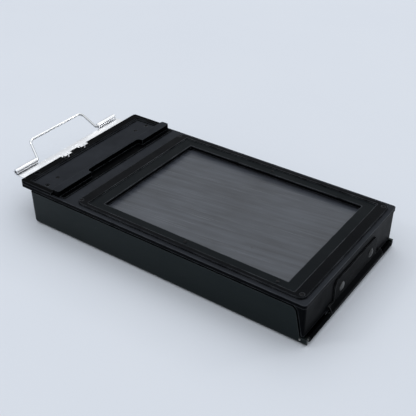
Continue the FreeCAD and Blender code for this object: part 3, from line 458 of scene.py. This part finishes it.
wire_radius = 0.00062
foot_half = 0.0184
bar_half = 0.0159
bar_bend = 0.0026
foot_bend = 0.0009
bend_points = 16
tip_share = 0.02
bail_low, bail_high = (np.array(corner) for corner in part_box("bail"))
barrel_axis = np.array(next(joint["pos_m"] for joint in frame["joints"] if joint["name"] == "bail_swing"))


def rounded_run(corners, bends, steps):
    """Straight runs between corners with a tangent arc of the given radius at each inner corner:
    the arc starts radius / tan(half the angle) before the corner and its centre is on the bisector."""
    runs = [corners[:1]]
    for before, corner, after, bend in zip(corners[:-2], corners[1:-1], corners[2:], bends):
        back = (before - corner) / np.linalg.norm(before - corner)
        ahead = (after - corner) / np.linalg.norm(after - corner)
        half = np.arccos(back @ ahead) / 2
        bisector = (back + ahead) / np.linalg.norm(back + ahead)
        centre = corner + bisector * bend / np.sin(half)
        side = (ahead - back) / np.linalg.norm(ahead - back)
        swing = np.linspace(half - np.pi / 2, np.pi / 2 - half, steps)[:, None]
        runs.append(centre - bisector * bend * np.cos(swing) + side * bend * np.sin(swing))
    runs.append(corners[-1:])
    return np.concatenate(runs)


def wire_surface(name, path, radius, plane_normal, sides=20, cap_rings=5):
    """A round wire along a flat path: each ring is centre + radius (cos a * across + sin a * normal).
    At both ends the rings shrink along a quarter circle to a closed, rounded tip."""
    step = np.gradient(path, axis=0)
    ahead = step / np.linalg.norm(step, axis=1)[:, None]
    ahead[0] = (path[1] - path[0]) / np.linalg.norm(path[1] - path[0])
    ahead[-1] = (path[-1] - path[-2]) / np.linalg.norm(path[-1] - path[-2])
    lean = np.linspace(np.pi / 2, 0, cap_rings + 1)[:-1, None]
    start = path[0] + ahead[0] * radius * (1 - np.sin(lean))
    finish = (path[-1] - ahead[-1] * radius * (1 - np.sin(lean)))[::-1]
    middle = path[1:-1]
    centres = np.concatenate([start, path[:1] + ahead[0] * radius, middle,
                              path[-1:] - ahead[-1] * radius, finish])
    widths = np.concatenate([radius * np.cos(lean[:, 0]), np.full(len(middle) + 2, radius),
                             radius * np.cos(lean[::-1, 0])])
    widths[[0, -1]] = radius * tip_share
    along = np.concatenate([np.repeat(ahead[:1], cap_rings + 1, 0), ahead[1:-1],
                            np.repeat(ahead[-1:], cap_rings + 1, 0)])
    across = np.cross(plane_normal, along)
    turn = np.linspace(0, 2 * np.pi, sides, endpoint=False)
    rings = (centres[:, None, :] + widths[:, None, None]
             * (np.cos(turn)[None, :, None] * across[:, None, :]
                + np.sin(turn)[None, :, None] * plane_normal[None, None, :]))
    ring, corner = np.meshgrid(np.arange(len(centres) - 1), np.arange(sides), indexing="ij")
    after = (corner + 1) % sides
    quads = np.stack([ring * sides + corner, (ring + 1) * sides + corner,
                      (ring + 1) * sides + after, ring * sides + after], axis=-1).reshape(-1, 4)
    last = (len(centres) - 1) * sides
    tips = [list(range(sides)), [last + n for n in reversed(range(sides))]]
    mesh = bpy.data.meshes.new(name)
    mesh.from_pydata(rings.reshape(-1, 3).tolist(), [], quads.tolist() + tips)
    mesh.shade_smooth()
    wire = bpy.data.objects.new(name, mesh)
    bpy.context.scene.collection.objects.link(wire)
    return wire


middle_y = (bail_low[1] + bail_high[1]) / 2
bar_place = np.array([bail_low[0] + wire_radius, middle_y, bail_high[2] - wire_radius])
foot_place = np.array([barrel_axis[0], middle_y, barrel_axis[2]])
across_y = np.array([0.0, 1.0, 0.0])
tip_reach = bail_high[1] - middle_y
bail_corners = np.array([foot_place - across_y * tip_reach, foot_place - across_y * foot_half,
                         bar_place - across_y * bar_half, bar_place + across_y * bar_half,
                         foot_place + across_y * foot_half, foot_place + across_y * tip_reach])
bail_path = rounded_run(bail_corners, (foot_bend, bar_bend, bar_bend, foot_bend), bend_points)
leg = (bar_place - foot_place) / np.linalg.norm(bar_place - foot_place)
bail_wire = wire_surface("bail_wire", bail_path, wire_radius, np.cross(leg, across_y))
bail_chrome = plated_metal("bail_chrome", (0.95, 0.95, 0.96), (0.84, 0.85, 0.86), (0.08, 0.18))
bail_wire.data.materials.append(bail_chrome)
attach(bail_wire, "bail")
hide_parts("bail")

# ================================================================ table, light and camera
# A pale matt table top, one large soft light above and behind, two small ones for the glints on
# the rim and the hinge, and a pale room that is brightest overhead.

table_half = 4.0
table_pale = (0.775, 0.80, 0.85)
table_shade = (0.735, 0.765, 0.825)
table_points = np.array([(-1, -1, 0), (1, -1, 0), (1, 1, 0), (-1, 1, 0)], dtype=float) * table_half
table_mesh = bpy.data.meshes.new("table")
table_mesh.from_pydata(table_points.tolist(), [], [(0, 1, 2, 3)])
table = bpy.data.objects.new("table", table_mesh)
bpy.context.scene.collection.objects.link(table)
table_finish, table_tree, table_shader = new_finish("table_paper", Specular_IOR_Level=0.2)
table_cloud = mottle(table_tree, (0.12, 0.12, 0.12), 0.0, 3.0)
table_tree.links.new(blend_colour(table_tree, table_cloud, table_shade, table_pale),
                     table_shader.inputs["Base Color"])
table_tree.links.new(spread(table_tree, table_cloud, 0.3, 0.7, 0.80, 0.90),
                     table_shader.inputs["Roughness"])
table_mesh.materials.append(table_finish)

room = bpy.data.worlds.new("room")
room.use_nodes = True
sky = room.node_tree.nodes["Background"]
sky.inputs["Color"].default_value = (0.92, 0.96, 1.0, 1)
view_way = add_node(room.node_tree, "ShaderNodeTexCoord").outputs["Generated"]
view_height = add_node(room.node_tree, "ShaderNodeSeparateXYZ", {"Vector": view_way}).outputs["Z"]
sky_strength = spread(room.node_tree, view_height, 0.30, 0.95, 0.34, 1.14)
room.node_tree.links.new(sky_strength, sky.inputs["Strength"])
bpy.context.scene.world = room


def soft_light(name, size, watts, place):
    """A square lamp of the given size at place, facing the middle of the table."""
    lamp_data = bpy.data.lights.new(name, "AREA")
    lamp_data.size = size
    lamp_data.energy = watts
    lamp = bpy.data.objects.new(name, lamp_data)
    lamp.location = place
    lamp.rotation_euler = (-Vector(place)).to_track_quat("-Z", "Y").to_euler()
    bpy.context.scene.collection.objects.link(lamp)


soft_light("window", 1.5, 4.0, (-0.45, 0.80, 1.20))
soft_light("near_glint", 0.08, 0.22, (-0.30, -0.35, 0.43))
soft_light("hinge_glint", 0.08, 0.22, (0.40, 0.50, 0.35))

camera_data = bpy.data.cameras.new("camera")
camera_data.lens = 66.6
camera_data.clip_start = 0.01
camera_data.clip_end = 20
camera = bpy.data.objects.new("camera", camera_data)
bpy.context.scene.collection.objects.link(camera)
azimuth = math.radians(34.83)
elevation = math.radians(33.79)
roll = math.radians(0.35)
looked_at = Vector((0.0067, -0.0072, 0.0179))
distance = 0.2976
forward = Vector((-math.sin(azimuth) * math.cos(elevation), math.cos(azimuth) * math.cos(elevation),
                  -math.sin(elevation)))
camera.location = looked_at - forward * distance
camera.rotation_euler = (forward.to_track_quat("-Z", "Y") @ Quaternion((0, 0, 1), roll)).to_euler()
bpy.context.scene.camera = camera
bpy.context.scene.view_settings.view_transform = "Standard"
